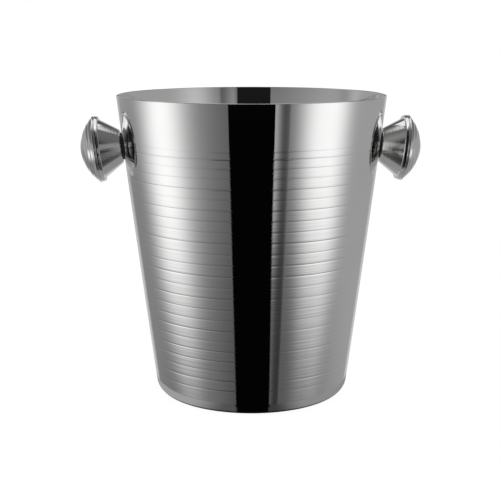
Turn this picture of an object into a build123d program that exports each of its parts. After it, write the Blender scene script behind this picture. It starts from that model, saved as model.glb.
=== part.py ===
from build123d import *
from math import atan, cos, pi, sin, sqrt
import os

# Champagne bucket: a spun, polished bucket with two screwed-on knob grips.
# Millimetres. +Z is up, the knobs lie along X, and the origin is the centre of the
# circle that the bucket stands on.

# Bucket
bucket_height = 231
mouth_radius = 102.5
foot_radius = 73.8          # where the wall line would reach the table
wall_belly = 0.4            # how far the wall bows out beyond a straight taper
sheet = 1.0                 # thickness of all the spun sheet
turn_radius = 10            # rounded turn from the wall into the base
rim_rounding = 0.4          # on both edges of the mouth
base_raise = 2.5            # the middle of the base is pressed up by this much
base_dish_radius = 50
standing_ring_radius = 57   # inner edge of the flat ring that touches the table
base_bend_radius = 3

# Engraved rings, counted from the top. Their spacing is tighter at the top and
# wavers a little, as it does when they are turned by hand.
ring_count = 24
top_ring_height = 203.3     # before the tightening is taken off
ring_pitch = 8.03
ring_tightening = 5.1
ring_tightening_decay = 0.44
ring_waver = 0.84
ring_waver_period = 16.3    # in rings
ring_waver_start = 1.3      # in radians
ring_tool_radius = 0.45
ring_tool_offset = 0.2      # centre of the tool's tip outside the wall

# Knobs, measured outwards along the knob's axis from the wall's outer surface
knob_height = 192.2         # of the screw hole above the table
knob_end = 32.5             # crown of the cap
knob_radius = 25.3
outer_washer_radius = 10.3
outer_washer_face = 0.9
cone_foot_radius = 12.3
cone_shoulder = 3           # rounding at the cone's small end
cone_end = 16.2
cone_end_radius = 22.4
rim_ring_end = 19.3
rim_ring_inner_radius = 20.8
rim_ring_foot_radius = 24.4  # of its outside, where it meets the cone
seam_rounding = 0.8         # of the rim ring and of the cap's lip
cap_lip_top = 21.0
cap_dome_radius = 24.1      # where the lip ends and the stepped dome starts
cap_band_radii = (21.2, 17.5, 11.5)
cap_band_bulge = 0.4
crease_crown = knob_end - cap_band_bulge

# Fixings
hole_radius = 2.75
hole_length = 8             # enough to pass through the wall and its washers
thread_radius = 2.5
boss_radius = 7
boss_length = 10
boss_rounding = 0.5
gasket_radius = 8
gasket_face = sheet + 1.2   # inwards from the wall's outer surface
washer_radius = 7
washer_face = gasket_face + 1.0
washer_rounding = 0.3
screw_radius = 2.4
screw_reach = 8             # how far it goes beyond the wall's outer surface
screw_head_radius = 4.6
screw_head_height = 2.8
head_rounding = 1.6
cross_length = 5.0
cross_width = 1.1
cross_depth = 1.4
fit_gap = 0.02              # left where a washer lies against the curved wall


def wall_radius(height):
    """Outer radius of the wall at a height above the table."""
    share = height / bucket_height
    taper = foot_radius + (mouth_radius - foot_radius) * share
    return taper + 4 * wall_belly * share * (1 - share)


def ring_height(number):
    """Height of one engraved ring, number 0 being the top one."""
    tightening = ring_tightening * ring_tightening_decay**number
    waver = ring_waver * sin(2 * pi * number / ring_waver_period + ring_waver_start)
    return top_ring_height - ring_pitch * number - tightening - waver


def cap_position(radius, edge, edge_radius, crown):
    """Position along the axis of a spherical cap, from its edge and its crown."""
    rise = crown - edge
    ball = (edge_radius**2 + rise**2) / (2 * rise)
    return crown - ball + sqrt(ball**2 - radius**2)


def crease(radius):
    """A point of the sphere that the creases between the cap's bands lie on."""
    return (cap_position(radius, cap_lip_top, cap_dome_radius, crease_crown), radius)


# The knobs stand square to the sloping wall.
wall_slope = (wall_radius(knob_height + 1) - wall_radius(knob_height - 1)) / 2
knob_tilt = atan(wall_slope)


def knob_plane(side):
    """Plane through a knob's axis: local x runs outwards along it, local y is up."""
    return Plane(
        origin=(side * wall_radius(knob_height), 0, knob_height),
        x_dir=(side * cos(knob_tilt), 0, -sin(knob_tilt)),
        z_dir=(0, -side, 0),
    )


def knob_axis(side):
    """The axis that one knob and its fixings are turned about."""
    plane = knob_plane(side)
    return Axis(plane.origin, plane.x_dir)


def finish(piece, name):
    """Names a finished piece and writes it to its file."""
    piece.part.label = name
    export_step(piece.part, f"parts/{name}.step")


def wall_block(outwards):
    """The bucket as a full block, its skin moved out by a distance."""
    with BuildPart() as block:
        with BuildSketch(Plane.YZ):
            with BuildLine():
                foot = (foot_radius + outwards, 0)
                waist = (wall_radius(bucket_height / 2) + outwards, bucket_height / 2)
                mouth = (mouth_radius + outwards, bucket_height)
                Polyline(mouth, (0, bucket_height), (0, 0), foot)
                ThreePointArc(foot, waist, mouth)
            make_face()
        revolve(axis=Axis.Z)
    return block.part


def turned_ring(side, start, end, inner_radius, outer_radius, rounding=0):
    """A plain ring about a knob's axis, from one position along it to another."""
    with BuildPart() as ring:
        with BuildSketch(knob_plane(side)) as section:
            with Locations((start, inner_radius)):
                Rectangle(
                    end - start, outer_radius - inner_radius, align=(Align.MIN, Align.MIN)
                )
            if rounding:
                fillet(section.vertices().group_by(Axis.Y)[-1], rounding)
        revolve(axis=knob_axis(side))
    return ring


def screw_hole(side):
    """The hole for one mounting screw, to be cut from the pieces it passes through."""
    return turned_ring(side, -hole_length / 2, hole_length / 2, 0, hole_radius).part


def make_bucket_shell():
    """The spun bucket: base, wall and mouth in one sheet, with the engraved rings."""
    holes = [screw_hole(side) for side in (1, -1)]
    with BuildPart() as shell:
        with BuildSketch(Plane.YZ) as section:
            with BuildLine() as skin:
                foot = (foot_radius, 0)
                waist = (wall_radius(bucket_height / 2), bucket_height / 2)
                mouth = (mouth_radius, bucket_height)
                dish_edge = (base_dish_radius, base_raise)
                ring_edge = (standing_ring_radius, 0)
                Polyline((0, base_raise), dish_edge, ring_edge, foot)
                ThreePointArc(foot, waist, mouth)
                for corner, bend in (
                    (dish_edge, base_bend_radius),
                    (ring_edge, base_bend_radius),
                    (foot, turn_radius),
                ):
                    fillet(skin.vertices().sort_by_distance((*corner, 0))[0], bend)
                offset(amount=sheet, side=Side.LEFT)
            make_face()
            with Locations((mouth_radius, bucket_height + sheet)):
                Rectangle(4 * sheet, 2 * sheet, mode=Mode.SUBTRACT)
            fillet(section.vertices().group_by(Axis.Y)[-1], rim_rounding)
            for number in range(ring_count):
                height = ring_height(number)
                with Locations((wall_radius(height) + ring_tool_offset, height)):
                    Circle(ring_tool_radius, mode=Mode.SUBTRACT)
        revolve(axis=Axis.Z)
        add(holes, mode=Mode.SUBTRACT)
    return shell


def make_outer_washer(side):
    """Thin washer between the wall and the knob, shaped to the wall's curve."""
    disc = turned_ring(side, -sheet, outer_washer_face, 0, outer_washer_radius).part
    wall = wall_block(fit_gap)
    hole = screw_hole(side)
    with BuildPart() as washer:
        add(disc)
        add(wall, mode=Mode.SUBTRACT)
        add(hole, mode=Mode.SUBTRACT)
    return washer


def make_knob_cone(side):
    """Flaring cup of spun sheet, its flat bottom against the outer washer."""
    with BuildPart() as cone:
        with BuildSketch(knob_plane(side)):
            with BuildLine() as skin:
                hole_edge = (outer_washer_face, hole_radius)
                shoulder = (outer_washer_face, cone_foot_radius)
                Polyline(hole_edge, shoulder, (cone_end, cone_end_radius))
                fillet(skin.vertices().sort_by_distance((*shoulder, 0))[0], cone_shoulder)
                offset(amount=sheet, side=Side.RIGHT)
            make_face()
            with Locations((cone_end, cone_end_radius)):
                Rectangle(4 * sheet, 8 * sheet, align=(Align.MIN, Align.CENTER), mode=Mode.SUBTRACT)
        revolve(axis=knob_axis(side))
    return cone


def make_knob_rim_ring(side):
    """Ring soldered between the cone and the cap, tapering towards the cone."""
    with BuildPart() as ring:
        with BuildSketch(knob_plane(side)) as section:
            with BuildLine():
                Polyline(
                    (cone_end, rim_ring_inner_radius),
                    (rim_ring_end, rim_ring_inner_radius),
                    (rim_ring_end, knob_radius),
                    (cone_end, rim_ring_foot_radius),
                    close=True,
                )
            make_face()
            fillet(section.vertices().sort_by(Axis.Y)[-2:], seam_rounding)
        revolve(axis=knob_axis(side))
    return ring


def make_knob_cap(side):
    """Low domed cap: a rounded lip, then rounded bands that step up to the crown."""
    with BuildPart() as cap:
        with BuildSketch(knob_plane(side)) as section:
            with BuildLine():
                lip_edge = crease(cap_dome_radius)
                lip_top = (cap_lip_top, knob_radius)
                lip_foot = (rim_ring_end, knob_radius)
                inner_foot = (rim_ring_end, cap_dome_radius - sheet)
                inner_crown = (knob_end - sheet, 0)
                Polyline(lip_edge, lip_top, lip_foot, inner_foot)
                inner_middle = cap_position(
                    cap_dome_radius / 2, *inner_foot, inner_crown[0]
                )
                ThreePointArc(inner_foot, (inner_middle, cap_dome_radius / 2), inner_crown)
                Line(inner_crown, (knob_end, 0))
                creases = [crease(radius) for radius in (cap_dome_radius, *cap_band_radii)]
                for outer, inner in zip(creases, creases[1:]):
                    SagittaArc(outer, inner, cap_band_bulge)
                crown_edge, crown_radius = creases[-1]
                crown_middle = cap_position(
                    crown_radius / 2, crown_edge, crown_radius, knob_end
                )
                ThreePointArc(
                    creases[-1], (crown_middle, crown_radius / 2), (knob_end, 0)
                )
            make_face()
            fillet(section.vertices().group_by(Axis.Y)[-1], seam_rounding)
        revolve(axis=knob_axis(side))
    return cap


def make_knob_boss(side):
    """Threaded boss soldered inside the small end of the cone."""
    start = outer_washer_face + sheet
    return turned_ring(
        side, start, start + boss_length, thread_radius, boss_radius, boss_rounding
    )


def make_inner_gasket(side):
    """Sealing washer inside the bucket, pressed to the curve of the wall."""
    disc = turned_ring(side, -gasket_face, 0, 0, gasket_radius).part
    inside = wall_block(-sheet - fit_gap)
    hole = screw_hole(side)
    with BuildPart() as gasket:
        add(disc)
        add(inside, mode=Mode.INTERSECT)
        add(hole, mode=Mode.SUBTRACT)
    return gasket


def make_screw_washer(side):
    """Flat metal washer between the gasket and the screw's head."""
    return turned_ring(
        side, -washer_face, -gasket_face, hole_radius, washer_radius, washer_rounding
    )


def make_mounting_screw(side):
    """Cross-head machine screw, its domed head inside the bucket."""
    head_face = -washer_face - screw_head_height
    plane = knob_plane(side)
    recess = Plane(origin=plane.from_local_coords((head_face, 0)), z_dir=plane.x_dir)
    with BuildPart() as screw:
        with BuildSketch(plane) as section:
            with Locations((head_face, 0)):
                Rectangle(
                    screw_head_height, screw_head_radius, align=(Align.MIN, Align.MIN)
                )
            fillet(section.vertices().sort_by(Axis.X)[:2].sort_by(Axis.Y)[-1], head_rounding)
            with Locations((-washer_face, 0)):
                Rectangle(
                    screw_reach + washer_face, screw_radius, align=(Align.MIN, Align.MIN)
                )
        revolve(axis=knob_axis(side))
        with BuildSketch(recess):
            Rectangle(cross_length, cross_width)
            Rectangle(cross_width, cross_length)
        extrude(amount=cross_depth, mode=Mode.SUBTRACT)
    return screw


os.makedirs("parts", exist_ok=True)
finish(make_bucket_shell(), "bucket_shell")
for side_name, side in (("left", -1), ("right", 1)):
    finish(make_outer_washer(side), f"{side_name}_outer_washer")
    finish(make_knob_cone(side), f"{side_name}_knob_cone")
    finish(make_knob_rim_ring(side), f"{side_name}_knob_rim_ring")
    finish(make_knob_cap(side), f"{side_name}_knob_cap")
    finish(make_knob_boss(side), f"{side_name}_knob_boss")
    finish(make_inner_gasket(side), f"{side_name}_inner_gasket")
    finish(make_screw_washer(side), f"{side_name}_screw_washer")
    finish(make_mounting_screw(side), f"{side_name}_mounting_screw")
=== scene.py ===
"""The looks of a spun silver champagne bucket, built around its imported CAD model.

Lengths are in metres unless a name says mm. The bucket and its knobs are all turned
shapes, so each visible one is an outline swept round an axis, fine enough that a
mirror finish shows no facets.
"""

from math import acos, atan, atan2, cos, degrees, exp, hypot, pi, radians, sin, sqrt, tan

import bmesh
import bpy
import numpy as np
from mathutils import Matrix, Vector


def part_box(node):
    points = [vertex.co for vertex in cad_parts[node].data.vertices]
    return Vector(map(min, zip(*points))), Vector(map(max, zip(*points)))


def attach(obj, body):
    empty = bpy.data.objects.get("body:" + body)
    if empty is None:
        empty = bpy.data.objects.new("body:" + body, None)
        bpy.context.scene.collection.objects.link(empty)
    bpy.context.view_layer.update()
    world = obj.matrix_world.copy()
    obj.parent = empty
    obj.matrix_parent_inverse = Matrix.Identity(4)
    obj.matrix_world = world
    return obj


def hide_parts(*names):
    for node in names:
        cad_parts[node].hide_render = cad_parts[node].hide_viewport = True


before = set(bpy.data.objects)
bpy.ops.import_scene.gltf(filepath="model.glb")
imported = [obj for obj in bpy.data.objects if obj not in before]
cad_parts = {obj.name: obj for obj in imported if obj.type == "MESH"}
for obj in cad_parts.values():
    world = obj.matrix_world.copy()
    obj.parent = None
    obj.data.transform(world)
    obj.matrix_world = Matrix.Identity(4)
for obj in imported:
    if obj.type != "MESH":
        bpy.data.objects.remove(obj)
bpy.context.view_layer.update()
MM = 0.001
SIDES = ("left", "right")
VIEW_TURN = radians(-2.8)  # of the camera round the bucket, and of the studio with it
SHARP_EDGE = 42  # degrees between faces, above which an edge is drawn sharp
KNOB_SEGMENTS = 256
BUCKET_SEGMENTS = 224


def smooth(value, start, end):
    """0 before start, 1 after end, and an even S between them."""
    share = min(max((value - start) / (end - start), 0), 1)
    return share * share * (3 - 2 * share)


# ---------------------------------------------------------------- outlines

def rounded(corners, bends, steps=8):
    """A path through corners, with each inner corner replaced by an arc of its bend."""
    path = [np.array(corners[0], float)]
    for before, corner, after, bend in zip(corners, corners[1:], corners[2:], bends):
        here = np.array(corner, float)
        back = np.array(before, float) - here
        ahead = np.array(after, float) - here
        back /= np.linalg.norm(back)
        ahead /= np.linalg.norm(ahead)
        half = acos(float(np.clip(back @ ahead, -1, 1))) / 2
        middle = (back + ahead) / np.linalg.norm(back + ahead)
        centre = here + middle * bend / sin(half)
        start = here + back * bend / tan(half) - centre
        end = here + ahead * bend / tan(half) - centre
        turn = atan2(start[0] * end[1] - start[1] * end[0], float(start @ end))
        for step in range(steps + 1):
            angle = turn * step / steps
            path.append(
                centre
                + start * cos(angle)
                + np.array((-start[1], start[0])) * sin(angle)
            )
    path.append(np.array(corners[-1], float))
    return path


def arc(centre, radius, start, end, steps=8):
    """Points of an arc, its angles in degrees from the outline's first direction."""
    angles = np.radians(np.linspace(start, end, steps + 1))
    return [np.array(centre) + radius * np.array((cos(a), sin(a))) for a in angles]


def offset_path(path, distance):
    """The path moved to its left by a distance, for the second face of a sheet."""
    points = np.array(path)
    along = np.gradient(points, axis=0)
    along /= np.linalg.norm(along, axis=1)[:, None]
    left = np.stack((-along[:, 1], along[:, 0]), axis=1)
    return list(points + left * distance)


def sagitta_arc(start, end, bulge, steps=8):
    """A shallow arc between two points, standing out to the right of their line."""
    start, end = np.array(start, float), np.array(end, float)
    along = (end - start) / np.linalg.norm(end - start)
    right = np.array((along[1], -along[0]))
    shares = np.linspace(0, 1, steps + 1)
    return [start + (end - start) * s + right * bulge * 4 * s * (1 - s) for s in shares]


def turned(name, outline, origin, axis, up, segments=KNOB_SEGMENTS, closed=False):
    """Sweeps an outline of (radius, position) points in mm round an axis.

    The mesh's UV map holds the turn (u) and the length along the outline in mm (v),
    which is what turning marks follow.
    """
    axis, up = Vector(axis).normalized(), Vector(up).normalized()
    across = axis.cross(up)
    points = [np.array(p, float) for p in outline]
    steps = [np.linalg.norm(b - a) for a, b in zip(points, points[1:])]
    lengths = np.concatenate(([0], np.cumsum(steps)))
    mesh = bmesh.new()
    uv = mesh.loops.layers.uv.new("turning")
    rings = []
    for radius, position in points:
        centre = Vector(origin) + axis * position * MM
        if radius < 1e-6:
            rings.append([mesh.verts.new(centre)] * segments)
            continue
        ring = []
        for step in range(segments):
            angle = 2 * pi * step / segments
            outwards = up * cos(angle) + across * sin(angle)
            ring.append(mesh.verts.new(centre + outwards * radius * MM))
        rings.append(ring)
    pairs = [(i, i + 1) for i in range(len(rings) - 1)]
    if closed:
        pairs.append((len(rings) - 1, 0))
        lengths = np.append(lengths, lengths[-1] + np.linalg.norm(points[0] - points[-1]))
    for row, (a, b) in enumerate(pairs):
        for step in range(segments):
            following = (step + 1) % segments
            corners = (
                (rings[a][step], step, lengths[row]),
                (rings[a][following], step + 1, lengths[row]),
                (rings[b][following], step + 1, lengths[row + 1]),
                (rings[b][step], step, lengths[row + 1]),
            )
            kept = []
            for corner in corners:
                if corner[0] not in [k[0] for k in kept]:
                    kept.append(corner)
            face = mesh.faces.new([k[0] for k in kept])
            face.smooth = True
            for loop, (_, turn, length) in zip(face.loops, kept):
                loop[uv].uv = (turn / segments, length)
    bmesh.ops.recalc_face_normals(mesh, faces=mesh.faces)
    data = bpy.data.meshes.new(name)
    mesh.to_mesh(data)
    mesh.free()
    data.set_sharp_from_angle(angle=radians(SHARP_EDGE))
    piece = bpy.data.objects.new(name, data)
    bpy.context.scene.collection.objects.link(piece)
    return piece


# ---------------------------------------------------------------- bucket

BUCKET_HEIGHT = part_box("bucket_shell")[1].z / MM
MOUTH = 102.46  # a hair inside the CAD mouth, whose mesh has flats
FOOT = 73.8
WALL_BELLY = 0.4
SHEET = 1.0
TURN_RADIUS = 10
RIM_ROUNDING = 0.4
BASE_RAISE = 2.5
DISH_RADIUS = 50
STANDING_RING = 57
BASE_BEND = 3
BASE_STEPS = 14
KNEE = 2.5 * TURN_RADIUS  # height below which the wall is part of the base's outline
INNER_STEPS = 24
PLAIN_STEPS = 90

RING_COUNT = 24
TOP_RING = 203.3
RING_PITCH = 8.03
RING_TIGHTENING = 5.1
RING_DECAY = 0.44
RING_WAVER = 0.84
WAVER_PERIOD = 16.3
WAVER_START = 1.3
RING_WIDTH = 1.3
RING_DEPTH = 0.042
RING_DEPTH_SPREAD = 0.25  # how unevenly deep the rings are, as a share of the depth
RING_LOWEST = 0.4  # where a groove is deepest, from its lower edge (-1) to its upper (1)
GROOVE_STEPS = 8
RING_CLEARANCE = 1.5 * RING_WIDTH  # to the plain wall's next points
WORN_SHARE = 0.65
WORN_FROM = (-8, 12)  # bearings in degrees, from the front, between which wear sets in
WORN_UNTIL = (95, 150)
WORN_BELOW = (-115, -85)  # heights in mm, negative so that they rise


def wall_radius(height):
    """Outer radius of the plain wall at a height, in mm."""
    share = height / BUCKET_HEIGHT
    return FOOT + (MOUTH - FOOT) * share + 4 * WALL_BELLY * share * (1 - share)


def ring_height(number):
    """Height of an engraved ring, number 0 being the top one, in mm."""
    tightening = RING_TIGHTENING * RING_DECAY**number
    waver = RING_WAVER * sin(2 * pi * number / WAVER_PERIOD + WAVER_START)
    return TOP_RING - RING_PITCH * number - tightening - waver


def ring_profile(share):
    """Depth of a ring as a share of the deepest, from its lower edge (-1) to its upper (1)."""
    if share > RING_LOWEST:
        away = (share - RING_LOWEST) / (1 - RING_LOWEST)
    else:
        away = (RING_LOWEST - share) / (1 + RING_LOWEST)
    return (1 + cos(pi * away)) / 2


def wear_rings(bucket):
    """Wears the lowest rings shallower on one side, where polishing took more off."""
    for vertex in bucket.data.vertices:
        x, y, z = vertex.co
        radius, height = hypot(x, y), z / MM
        plain = wall_radius(height) * MM
        groove = plain - radius
        if height > ring_height(RING_COUNT) and 0 < groove < 2 * RING_DEPTH * MM:
            bearing = degrees(atan2(x, -y))
            side = smooth(bearing, *WORN_FROM) - smooth(bearing, *WORN_UNTIL)
            worn = WORN_SHARE * side * smooth(-height, *WORN_BELOW)
            wider = (plain - groove * (1 - worn)) / radius
            vertex.co = (x * wider, y * wider, z)


def make_bucket():
    """The one-piece spun bucket, with its engraved rings as real grooves."""
    lean = atan((wall_radius(BUCKET_HEIGHT) - wall_radius(BUCKET_HEIGHT - 2)) / 2)
    rim_centre = BUCKET_HEIGHT - RIM_ROUNDING
    base = rounded(
        [
            (0, BASE_RAISE),
            (DISH_RADIUS, BASE_RAISE),
            (STANDING_RING, 0),
            (FOOT, 0),
            (wall_radius(KNEE), KNEE),
        ],
        [BASE_BEND, BASE_BEND, TURN_RADIUS],
        steps=BASE_STEPS,
    )
    plain_heights = np.linspace(KNEE + 2, rim_centre, INNER_STEPS)
    plain_wall = [np.array((wall_radius(z), z)) for z in plain_heights]
    inner = offset_path(base + plain_wall, SHEET)

    rings = [ring_height(number) for number in range(RING_COUNT)]
    cuts = {}
    for number, ring in enumerate(rings):
        depth = RING_DEPTH * (0.9 + RING_DEPTH_SPREAD * sin(2.4 * number + 5))
        for step in range(-GROOVE_STEPS // 2, GROOVE_STEPS // 2 + 1):
            share = step / (GROOVE_STEPS / 2)
            cuts[ring + share * RING_WIDTH / 2] = depth * ring_profile(share)
        for clear in (-1, 1):
            cuts[ring + clear * RING_CLEARANCE] = 0
    first_wall = base[-2][1]
    for z in np.linspace(first_wall + 2, rim_centre, PLAIN_STEPS):
        if all(abs(z - ring) > 2 * RING_WIDTH for ring in rings):
            cuts[z] = 0
    outer = base[:-1] + [
        np.array((wall_radius(z) - cuts[z], z)) for z in sorted(cuts) if z > first_wall + 1
    ]
    tilt = np.degrees(lean)
    mouth = wall_radius(rim_centre)
    outer_centre = (mouth - RIM_ROUNDING / cos(lean), rim_centre)
    inner_centre = (mouth - (SHEET - RIM_ROUNDING) / cos(lean), rim_centre)
    rim = arc(outer_centre, RIM_ROUNDING, -tilt, 90)
    rim += arc(inner_centre, RIM_ROUNDING, 90, 180 - tilt)
    outline = outer + rim + inner[::-1]
    outline[0][0] = outline[-1][0] = 0
    upright, front = (0, 0, 1), (0, -1, 0)
    bucket = turned("bucket", outline, (0, 0, 0), upright, front, segments=BUCKET_SEGMENTS)
    wear_rings(bucket)
    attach(bucket, "root")
    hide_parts("bucket_shell")
    return bucket


# ---------------------------------------------------------------- knobs
# Positions are in mm outwards along the knob's axis from the wall, as in the CAD.

KNOB_END = 32.49  # a hair inside the CAD knob
KNOB_RADIUS = 25.3
WASHER_FACE = 0.9
HOLE_RADIUS = 2.75
CONE_FOOT = 12.3
CONE_SHOULDER = 3.0
CONE_END = 16.2
CONE_END_RADIUS = 22.4
RIM_RING_END = 19.3
RIM_RING_INNER = 20.8
RIM_RING_FOOT = 24.4
SEAM_ROUNDING = 0.8
CAP_LIP_TOP = 21.0
CAP_DOME_RADIUS = 24.1
CAP_BANDS = (21.2, 17.5, 11.5)
CAP_BULGE = 0.4
BOSS_MIDDLE = 6.9
CREASE_CROWN = KNOB_END - CAP_BULGE


def knob_axis(side):
    """Origin on the wall, direction and upward direction of one knob's axis."""
    low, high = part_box(f"{side}_knob_boss")
    middle = (low + high) / 2
    outwards = 1 if middle.x > 0 else -1
    height = middle.z / MM
    slope = (wall_radius(height + 1) - wall_radius(height - 1)) / 2
    direction = Vector((outwards, 0, -slope)).normalized()
    up = Vector((outwards * slope, 0, 1)).normalized()
    return middle - direction * BOSS_MIDDLE * MM, direction, up


def cap_position(radius, edge, edge_radius, crown):
    """Position along the axis of a spherical cap, from its edge and its crown."""
    rise = crown - edge
    ball = (edge_radius**2 + rise**2) / (2 * rise)
    return crown - ball + sqrt(ball**2 - radius**2)


def crease(radius):
    """A point of the sphere that the creases between the cap's bands lie on."""
    return radius, cap_position(radius, CAP_LIP_TOP, CAP_DOME_RADIUS, CREASE_CROWN)


def cone_outline():
    """The flaring cup: flat bottom with its hole, rounded shoulder, open end."""
    skin = rounded(
        [(HOLE_RADIUS, WASHER_FACE), (CONE_FOOT, WASHER_FACE), (CONE_END_RADIUS, CONE_END)],
        [CONE_SHOULDER],
        steps=10,
    )
    inside = [
        (CONE_END_RADIUS - 1.25 * SHEET, CONE_END),
        (CONE_FOOT - SHEET / 2, WASHER_FACE + SHEET),
        (HOLE_RADIUS, WASHER_FACE + SHEET),
    ]
    return skin + inside


def rim_ring_outline():
    """The narrow ring round the knob's widest place, rounded on its outer edges."""
    return rounded(
        [
            (RIM_RING_INNER, CONE_END),
            (RIM_RING_FOOT, CONE_END),
            (KNOB_RADIUS, RIM_RING_END),
            (RIM_RING_INNER, RIM_RING_END),
        ],
        [SEAM_ROUNDING, SEAM_ROUNDING],
    )


def cap_outline():
    """The stepped dome, from its hollow inside round the lip to the crown."""
    dome_inside = CAP_DOME_RADIUS - SHEET
    inside = [
        (r, cap_position(r, RIM_RING_END, dome_inside, KNOB_END - SHEET))
        for r in np.linspace(0, dome_inside, 14)
    ]
    lip = rounded(
        [
            inside[-1],
            (KNOB_RADIUS, RIM_RING_END),
            (KNOB_RADIUS, CAP_LIP_TOP),
            crease(CAP_DOME_RADIUS),
        ],
        [SEAM_ROUNDING, SEAM_ROUNDING],
    )
    bands = []
    creases = [crease(radius) for radius in (CAP_DOME_RADIUS, *CAP_BANDS)]
    for outer, inner in zip(creases, creases[1:]):
        bands += sagitta_arc(outer, inner, CAP_BULGE)[1:]
    crown_radius, crown_edge = creases[-1]
    crown = [
        (r, cap_position(r, crown_edge, crown_radius, KNOB_END))
        for r in np.linspace(crown_radius, 0, 12)[1:]
    ]
    return inside[:-1] + lip + bands + crown


def make_knob(side):
    """The three polished pieces of one knob, each standing for its CAD node."""
    origin, direction, up = knob_axis(side)
    made = []
    for part, outline, closed in (
        ("knob_cone", cone_outline(), True),
        ("knob_rim_ring", rim_ring_outline(), True),
        ("knob_cap", cap_outline(), False),
    ):
        piece = turned(f"{side}_{part}_polished", outline, origin, direction, up, closed=closed)
        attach(piece, "root")
        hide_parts(f"{side}_{part}")
        made.append(piece)
    return made


# ---------------------------------------------------------------- materials

MARK_SCALE = 0.7  # turning marks to a mm across them
MARK_SPREAD = 16  # times MARK_SCALE, the marks to a metre along them
MARK_HEIGHT = 0.1 * MM
PLAIN_MARKS = 1 / 6  # the marks' strength on the plain band, as a share of the rest
PLAIN_FADE = 2 * MM
TARNISH_SCALE = 22
TARNISH_TINTS = (0.92, 0.92, 0.915), (0.965, 0.965, 0.96)
GRAIN_STRENGTH = 0.4


def new_material(name):
    """An empty node material with its Principled shader, ready for links."""
    material = bpy.data.materials.new(name)
    material.use_nodes = True
    nodes, links = material.node_tree.nodes, material.node_tree.links
    return material, nodes, links, nodes["Principled BSDF"]


def colour_ramp(nodes, low, high, start=0.3, end=0.7):
    """A two-colour ramp between two shades."""
    ramp = nodes.new("ShaderNodeValToRGB")
    ramp.color_ramp.elements[0].position = start
    ramp.color_ramp.elements[1].position = end
    ramp.color_ramp.elements[0].color = (*low, 1)
    ramp.color_ramp.elements[1].color = (*high, 1)
    return ramp


def map_range(nodes, low, high):
    """A node that spreads 0 to 1 over a range."""
    node = nodes.new("ShaderNodeMapRange")
    node.inputs["To Min"].default_value = low
    node.inputs["To Max"].default_value = high
    return node


def silver(name, line_strength, roughness, plain_above=None):
    """Mirror-polished silver with fine turning marks that run round the piece.

    Marks are fainter above a height in metres, where the wall is left plain.
    """
    material, nodes, links, shader = new_material(name)
    shader.inputs["Metallic"].default_value = 1.0
    shader.inputs["Anisotropic"].default_value = 0.6
    shader.inputs["Anisotropic Rotation"].default_value = 0.25
    coords = nodes.new("ShaderNodeTexCoord")
    outline = nodes.new("ShaderNodeSeparateXYZ")
    links.new(coords.outputs["UV"], outline.inputs[0])
    place = nodes.new("ShaderNodeSeparateXYZ")
    links.new(coords.outputs["Object"], place.inputs[0])

    streaks = nodes.new("ShaderNodeCombineXYZ")
    links.new(outline.outputs["Y"], streaks.inputs["X"])
    for direction, socket in (("X", "Y"), ("Y", "Z")):
        spread = nodes.new("ShaderNodeMath")
        spread.operation = "MULTIPLY"
        spread.inputs[1].default_value = MARK_SPREAD
        links.new(place.outputs[direction], spread.inputs[0])
        links.new(spread.outputs[0], streaks.inputs[socket])
    marks = nodes.new("ShaderNodeTexNoise")
    marks.inputs["Scale"].default_value = MARK_SCALE
    marks.inputs["Detail"].default_value = 3
    marks.inputs["Roughness"].default_value = 0.6
    links.new(streaks.outputs[0], marks.inputs["Vector"])

    tarnish = nodes.new("ShaderNodeTexNoise")
    tarnish.inputs["Scale"].default_value = TARNISH_SCALE
    tarnish.inputs["Detail"].default_value = 6
    links.new(coords.outputs["Object"], tarnish.inputs["Vector"])

    tint = colour_ramp(nodes, *TARNISH_TINTS)
    links.new(tarnish.outputs["Fac"], tint.inputs["Fac"])
    links.new(tint.outputs["Color"], shader.inputs["Base Color"])

    gloss = map_range(nodes, *roughness)
    links.new(tarnish.outputs["Fac"], gloss.inputs["Value"])
    links.new(gloss.outputs["Result"], shader.inputs["Roughness"])

    bump = nodes.new("ShaderNodeBump")
    bump.inputs["Strength"].default_value = line_strength
    bump.inputs["Distance"].default_value = MARK_HEIGHT
    links.new(marks.outputs["Fac"], bump.inputs["Height"])
    if plain_above is not None:
        fade = nodes.new("ShaderNodeMapRange")
        fade.inputs["From Min"].default_value = plain_above
        fade.inputs["From Max"].default_value = plain_above + PLAIN_FADE
        fade.inputs["To Min"].default_value = line_strength
        fade.inputs["To Max"].default_value = line_strength * PLAIN_MARKS
        links.new(place.outputs["Z"], fade.inputs["Value"])
        links.new(fade.outputs["Result"], bump.inputs["Strength"])
    links.new(bump.outputs["Normal"], shader.inputs["Normal"])

    around = nodes.new("ShaderNodeTangent")
    around.direction_type = "UV_MAP"
    around.uv_map = "turning"
    links.new(around.outputs["Tangent"], shader.inputs["Tangent"])
    return material


def grained(name, low, high, metallic, roughness, scale, bump_mm):
    """A material for the small fittings: mottled colour, uneven gloss, fine grain."""
    material, nodes, links, shader = new_material(name)
    shader.inputs["Metallic"].default_value = metallic
    coords = nodes.new("ShaderNodeTexCoord")
    grain = nodes.new("ShaderNodeTexNoise")
    grain.inputs["Scale"].default_value = scale
    grain.inputs["Detail"].default_value = 8
    links.new(coords.outputs["Object"], grain.inputs["Vector"])
    tint = colour_ramp(nodes, low, high)
    links.new(grain.outputs["Fac"], tint.inputs["Fac"])
    links.new(tint.outputs["Color"], shader.inputs["Base Color"])
    gloss = map_range(nodes, *roughness)
    links.new(grain.outputs["Fac"], gloss.inputs["Value"])
    links.new(gloss.outputs["Result"], shader.inputs["Roughness"])
    bump = nodes.new("ShaderNodeBump")
    bump.inputs["Strength"].default_value = GRAIN_STRENGTH
    bump.inputs["Distance"].default_value = bump_mm * MM
    links.new(grain.outputs["Fac"], bump.inputs["Height"])
    links.new(bump.outputs["Normal"], shader.inputs["Normal"])
    return material


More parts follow.
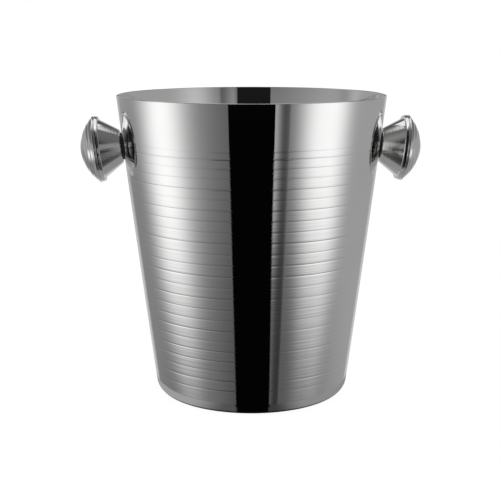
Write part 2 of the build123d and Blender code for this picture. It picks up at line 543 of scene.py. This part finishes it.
def dress(piece, material):
    """Gives a piece one material, whatever it had."""
    piece.data.materials.clear()
    piece.data.materials.append(material)


# ---------------------------------------------------------------- stage
# Bearings from the bucket are in degrees: azimuth 0 is towards the camera and 90 at
# the camera's right, and elevation 0 is level. A brightness of 1 is white.

FLOOR_HALF_SIZE = 8
FLOOR_GLOW = 0.96
FLOOR_TINTS = (0.055, 0.055, 0.055), (0.065, 0.065, 0.065)

LEFT_BOX = 0.81  # brightness of the two soft boxes
RIGHT_BOX = 0.78
LEFT_BOX_CENTRE = -83.5
RIGHT_BOX_CENTRE = 66
LEFT_BOX_WIDTHS = (24.0, 24.5)  # to either side of the centre
RIGHT_BOX_WIDTHS = (23.5, 24.5)
BOX_LOWER_EDGE = (-33, -15)

BACKDROP_LIGHT = 0.55
BACK_LEVEL = 0.52
ROOF_LIGHT = 1.05
UNDER_LIGHT = 0.27
TENT_RADIUS = 6.0
TENT_STEP = 1

FLAG_RADIUS = 0.6
FLAG_HEIGHT = 0.115  # above the table, of the point that its bearings are from
FLAG_ROWS = (-60, 56)
FLAG_COLUMNS = 21
FLAG_LEFT = -17.75
FLAG_RIGHT = 18.2
FLAG_GLOW = 0.001
FLAG_UPPER_GLOW = 0.0085  # added to the upper half

TABLE_RADII = (0.05, 0.088)
TABLE_ROWS = 39
TABLE_DROP = 0.3 * MM
TABLE_BACK = 0.25

CAMERA_DISTANCE = 0.86595
CAMERA_HEIGHT = 0.28552
CAMERA_DIP = 0.19  # radians that it looks down
CAMERA_LENS = 81.43
CAMERA_SHIFT = (-0.00298, -0.02226)


def stage_plane(name, half_size, height):
    """A large flat square that isn't part of the object."""
    mesh = bpy.data.meshes.new(name)
    signs = ((-1, -1), (1, -1), (1, 1), (-1, 1))
    corners = [(x * half_size, y * half_size, height) for x, y in signs]
    mesh.from_pydata(corners, [], [(0, 1, 2, 3)])
    plane = bpy.data.objects.new(name, mesh)
    bpy.context.scene.collection.objects.link(plane)
    return plane


def make_floor():
    """A plain pale floor, bright enough to run into the white background."""
    floor = stage_plane("floor", FLOOR_HALF_SIZE, 0)
    material, nodes, links, shader = new_material("pale_floor")
    shader.inputs["Specular IOR Level"].default_value = 0
    shader.inputs["Roughness"].default_value = 1
    shader.inputs["Emission Color"].default_value = (1, 1, 1, 1)
    shader.inputs["Emission Strength"].default_value = FLOOR_GLOW
    coords = nodes.new("ShaderNodeTexCoord")
    mottle = nodes.new("ShaderNodeTexNoise")
    mottle.inputs["Scale"].default_value = 3
    links.new(coords.outputs["Object"], mottle.inputs["Vector"])
    tint = colour_ramp(nodes, *FLOOR_TINTS)
    links.new(mottle.outputs["Fac"], tint.inputs["Fac"])
    links.new(tint.outputs["Color"], shader.inputs["Base Color"])
    floor.data.materials.append(material)
    floor.visible_glossy = False


def lobe(angle, centre, before, after, power=2):
    """A soft light's fall-off to either side of its centre, in degrees."""
    width = before if angle < centre else after
    return exp(-((abs(angle - centre) / width) ** power))


def soft_box(azimuth, fade, narrowest, centre, widths, power):
    """Share of a soft box's brightness, narrower where it fades at its lower edge."""
    width = narrowest + (1 - narrowest) * fade
    before, after = widths
    return fade * lobe(azimuth, centre, before * width, after * width, power)


def left_wall_light(azimuth, elevation):
    """Brightness of the tent's left side below eye level, and of its soft box."""
    base = 0.11 + 0.11 * smooth(-azimuth, 12, 55)
    fade = 0.11 + 0.89 * smooth(elevation + 0.06 * (azimuth + 84), *BOX_LOWER_EDGE)
    centre = LEFT_BOX_CENTRE + 4 * smooth(-elevation, 19, 28)
    return base, LEFT_BOX * soft_box(azimuth, fade, 0.72, centre, LEFT_BOX_WIDTHS, 2.3)


def right_wall_light(azimuth, elevation):
    """The same at the right, where a narrow bright strip runs along the flag's edge."""
    base = 0.05 + 0.09 * smooth(azimuth, 31.5, 33.5) + 0.19 * smooth(azimuth, 36, 113)
    edge = smooth(-azimuth, -31.5, -20) ** 2.2
    base += 0.30 * edge * (1 - 0.62 * smooth(-elevation, 21, 26))
    fade = 0.08 + 0.92 * smooth(elevation, *BOX_LOWER_EDGE)
    box = soft_box(azimuth, fade, 0.75, RIGHT_BOX_CENTRE, RIGHT_BOX_WIDTHS, 2.8)
    return base, RIGHT_BOX * box


def wall_light(azimuth, elevation):
    """Brightness seen by the outer wall, which leans and so looks down at the tent."""
    side = left_wall_light if azimuth < 0 else right_wall_light
    base, box = side(azimuth, elevation)
    return base * (1 - 0.30 * smooth(-elevation, 18, 32)) + box


def level_light(azimuth, elevation):
    """Brightness of the tent at and above eye level, seen by the inner wall."""
    if azimuth < 0:
        level = 0.24 + 0.10 * smooth(-azimuth, 20, 75)
        level += 0.07 * lobe(azimuth, -109, 7, 7) - 0.06 * lobe(azimuth, -94, 7, 7)
    else:
        level = 0.15 + 0.07 * smooth(azimuth, 28.5, 30.5) + 0.11 * smooth(azimuth, 34, 60)
        level += 0.25 * lobe(azimuth, 50, 16, 20) + 0.15 * lobe(azimuth, 17, 3, 5.5)
        level -= 0.05 * lobe(azimuth, 28, 3, 1.5)
    level *= 1 - 0.58 * smooth(elevation, 8, 18)
    back = BACK_LEVEL * (1 - 0.85 * smooth(elevation, 12, 31))
    level += (back - level) * smooth(abs(azimuth), 150, 160)
    return level + (ROOF_LIGHT - level) * roof_share(azimuth, elevation)


def roof_share(azimuth, elevation):
    """How much of the white roof overhead shows. It comes lower behind the bucket."""
    away = abs(azimuth)
    eave = 38 if azimuth < 0 else 43
    strip = smooth(away, 88, 100) * smooth(elevation, eave, eave + 5)
    strip *= 1 - (1 - smooth(away, 118, 132)) * smooth(elevation, 48, 52)
    return max(0.8 * strip, smooth(elevation, 66, 82))


def shade_by_flag(azimuth, elevation):
    """Darkness beside the flag, off the heights that the two faces of the wall see."""
    above = smooth(elevation, 12, 15)
    below = smooth(elevation, -14.5, -12) - smooth(elevation, -4, -1)
    return 1 - 0.72 * (above + below) * (1 - smooth(abs(azimuth), 26, 42))


def floor_light(azimuth):
    """Brightness of the table as the undersides of the knobs see it."""
    away = abs(azimuth)
    return 0.035 + 0.04 * smooth(away, 38, 50) + 0.20 * smooth(away, 55, 74)


def tent_light(azimuth, elevation):
    """Brightness of the light tent in one direction."""
    wall = wall_light(azimuth, elevation)
    backdrop = BACKDROP_LIGHT * smooth(abs(azimuth), 138, 158)
    behind = smooth(-elevation, -2, 14)
    wall = wall + (max(backdrop, wall) - wall) * behind
    low = smooth(-elevation, 33, 39)
    under = max(floor_light(azimuth), backdrop * 0.6)
    under += (UNDER_LIGHT - under) * smooth(-elevation, 64, 74)
    wall = wall + (under - wall) * low
    high = smooth(elevation, -12, -1)
    light = wall + (level_light(azimuth, elevation) - wall) * high
    return light * shade_by_flag(azimuth, elevation)


def table_light(azimuth, radius):
    """Brightness of the table close to the bucket, with the bucket's shadow painted in
    underneath it.

    The dark sector in front is where the flag's reflection goes on.
    """
    away = abs(azimuth)
    outwards = smooth(radius, 0.075, 0.088)
    # painted reflection of the flag: the table is dark within edge degrees of the front
    if azimuth < 0:
        edge = 8.7 + 1.8 * outwards
        near = 0.085 * smooth(away, edge, edge + 1) + 0.27 * smooth(away, 15, 44)
    else:
        edge = 10 + 1.8 * outwards
        near = 0.045 * smooth(away, edge, edge + 1) + 0.22 * smooth(away, 14, 38)
    near += (TABLE_BACK - near) * smooth(away, 100, 170)
    # painted shadow of the bucket: the card goes near black inside the foot's radius
    return FLAG_GLOW + near * (0.05 + 0.95 * smooth(radius, 0.069, 0.073))


def stage_point(azimuth, elevation, radius):
    """A point at a bearing from the bucket."""
    e, a = radians(elevation), radians(azimuth) + VIEW_TURN
    return radius * cos(e) * sin(a), -radius * cos(e) * cos(a), radius * sin(e)


def glowing_grid(name, cloth, rows, columns, closed, spot):
    """A glowing sheet: spot gives the place and brightness of each row and column.

    It shows in reflections only, not in the picture itself or in the floor's light.
    """
    count = len(columns)
    spots = [spot(row, column) for row in rows for column in columns]
    faces = []
    for row in range(len(rows) - 1):
        for column in range(count if closed else count - 1):
            here, after = row * count + column, row * count + (column + 1) % count
            faces.append((here, after, after + count, here + count))
    mesh = bpy.data.meshes.new(name)
    mesh.from_pydata([place for place, _ in spots], [], faces)
    glow = mesh.color_attributes.new("glow", "FLOAT_COLOR", "POINT")
    glow.data.foreach_set("color", np.repeat([shade for _, shade in spots], 4))

    material = bpy.data.materials.new(cloth)
    material.use_nodes = True
    nodes, links = material.node_tree.nodes, material.node_tree.links
    nodes.clear()
    attribute = nodes.new("ShaderNodeAttribute")
    attribute.attribute_name = "glow"
    light = nodes.new("ShaderNodeEmission")
    output = nodes.new("ShaderNodeOutputMaterial")
    links.new(attribute.outputs["Color"], light.inputs["Color"])
    links.new(light.outputs["Emission"], output.inputs["Surface"])
    mesh.materials.append(material)

    sheet = bpy.data.objects.new(name, mesh)
    bpy.context.scene.collection.objects.link(sheet)
    sheet.visible_camera = False
    sheet.visible_diffuse = False
    sheet.visible_transmission = False
    sheet.visible_shadow = False
    return sheet


def make_tent():
    """A soft light tent all round, seen only in the reflections of the silver."""

    def spot(elevation, azimuth):
        return stage_point(azimuth, elevation, TENT_RADIUS), tent_light(azimuth, elevation)

    elevations = np.arange(-90, 91, TENT_STEP)
    azimuths = np.arange(-180, 180, TENT_STEP)
    tent = glowing_grid("light_tent", "tent_cloth", elevations, azimuths, True, spot)


def make_flag():
    """The black flag whose reflection is the bucket's dark stripe.

    It stands between the bucket and the camera, which doesn't see it.
    """

    def spot(elevation, share):
        begin = FLAG_LEFT - 1.4 * smooth(elevation, -6, 14)
        end = FLAG_RIGHT + 2.4 * smooth(-elevation, 14, 45) - 3.9 * smooth(elevation, -4, 14)
        across, out, up = stage_point(begin + (end - begin) * share, elevation, FLAG_RADIUS)
        glow = FLAG_GLOW + FLAG_UPPER_GLOW * smooth(elevation, -6, 6)
        return (across, out, up + FLAG_HEIGHT), glow

    elevations = np.arange(*FLAG_ROWS)
    shares = np.linspace(0, 1, FLAG_COLUMNS)
    flag = glowing_grid("black_flag", "black_cloth", elevations, shares, False, spot)


def make_table_painted_light():
    """A glowing card for the table round the bucket's foot, as the rounded edge of its base
    mirrors it; the bucket's shadow and the flag's reflection are painted into its glow.
    """

    def spot(radius, azimuth):
        across, out, _ = stage_point(azimuth, 0, radius)
        return (across, out, -TABLE_DROP), table_light(azimuth, radius)

    radii = np.linspace(*TABLE_RADII, TABLE_ROWS)
    azimuths = np.arange(-180, 180, TENT_STEP)
    # glows with painted light: the bucket's shadow and the flag's reflection on the table
    card = glowing_grid("table_card_painted_light", "table_cloth_painted_light", radii, azimuths, True, spot)


def make_world():
    """Even white light all round."""
    world = bpy.data.worlds.new("studio")
    bpy.context.scene.world = world
    world.use_nodes = True
    background = world.node_tree.nodes["Background"]
    background.inputs["Color"].default_value = (1, 1, 1, 1)
    background.inputs["Strength"].default_value = 1.0


def make_camera():
    """The main view, a little above the rim and a little to the left of straight on."""
    data = bpy.data.cameras.new("camera")
    data.sensor_width = 36
    data.lens = CAMERA_LENS
    data.shift_x, data.shift_y = CAMERA_SHIFT
    data.clip_start = 0.05
    data.clip_end = 50
    camera = bpy.data.objects.new("camera", data)
    across, out, _ = stage_point(0, 0, CAMERA_DISTANCE)
    camera.location = (across, out, CAMERA_HEIGHT)
    camera.rotation_euler = (pi / 2 - CAMERA_DIP, 0, VIEW_TURN)
    bpy.context.scene.collection.objects.link(camera)
    bpy.context.scene.camera = camera


# ---------------------------------------------------------------- scene

bucket = make_bucket()
bucket_silver = silver(
    "bucket_silver",
    line_strength=0.36,
    roughness=(0.02, 0.05),
    plain_above=ring_height(0) * MM,
)
dress(bucket, bucket_silver)
cone_silver = silver("cone_silver", line_strength=0.3, roughness=(0.08, 0.14))
cap_silver = silver("cap_silver", line_strength=0.5, roughness=(0.05, 0.10))
for side in SIDES:
    cone, rim_ring, cap = make_knob(side)
    dress(cone, cone_silver)
    dress(rim_ring, cap_silver)
    dress(cap, cap_silver)

black_washer = grained(
    "washer_black",
    low=(0.012, 0.012, 0.012),
    high=(0.03, 0.03, 0.03),
    metallic=0,
    roughness=(0.35, 0.55),
    scale=900,
    bump_mm=0.02,
)
black_rubber = grained(
    "gasket_rubber",
    low=(0.018, 0.018, 0.018),
    high=(0.04, 0.04, 0.04),
    metallic=0,
    roughness=(0.6, 0.85),
    scale=1400,
    bump_mm=0.03,
)
turned_brass = grained(
    "boss_brass",
    low=(0.66, 0.47, 0.22),
    high=(0.83, 0.64, 0.34),
    metallic=1,
    roughness=(0.18, 0.34),
    scale=700,
    bump_mm=0.01,
)
plain_steel = grained(
    "fixing_steel",
    low=(0.56, 0.56, 0.57),
    high=(0.74, 0.74, 0.75),
    metallic=1,
    roughness=(0.16, 0.30),
    scale=800,
    bump_mm=0.01,
)
fittings = {
    "outer_washer": black_washer,
    "inner_gasket": black_rubber,
    "knob_boss": turned_brass,
    "screw_washer": plain_steel,
    "mounting_screw": plain_steel,
}
for side in SIDES:
    for fitting, material in fittings.items():
        dress(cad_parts[f"{side}_{fitting}"], material)

make_floor()
make_tent()
make_flag()
make_table_painted_light()
make_world()
make_camera()
bpy.context.scene.view_settings.view_transform = "Standard"
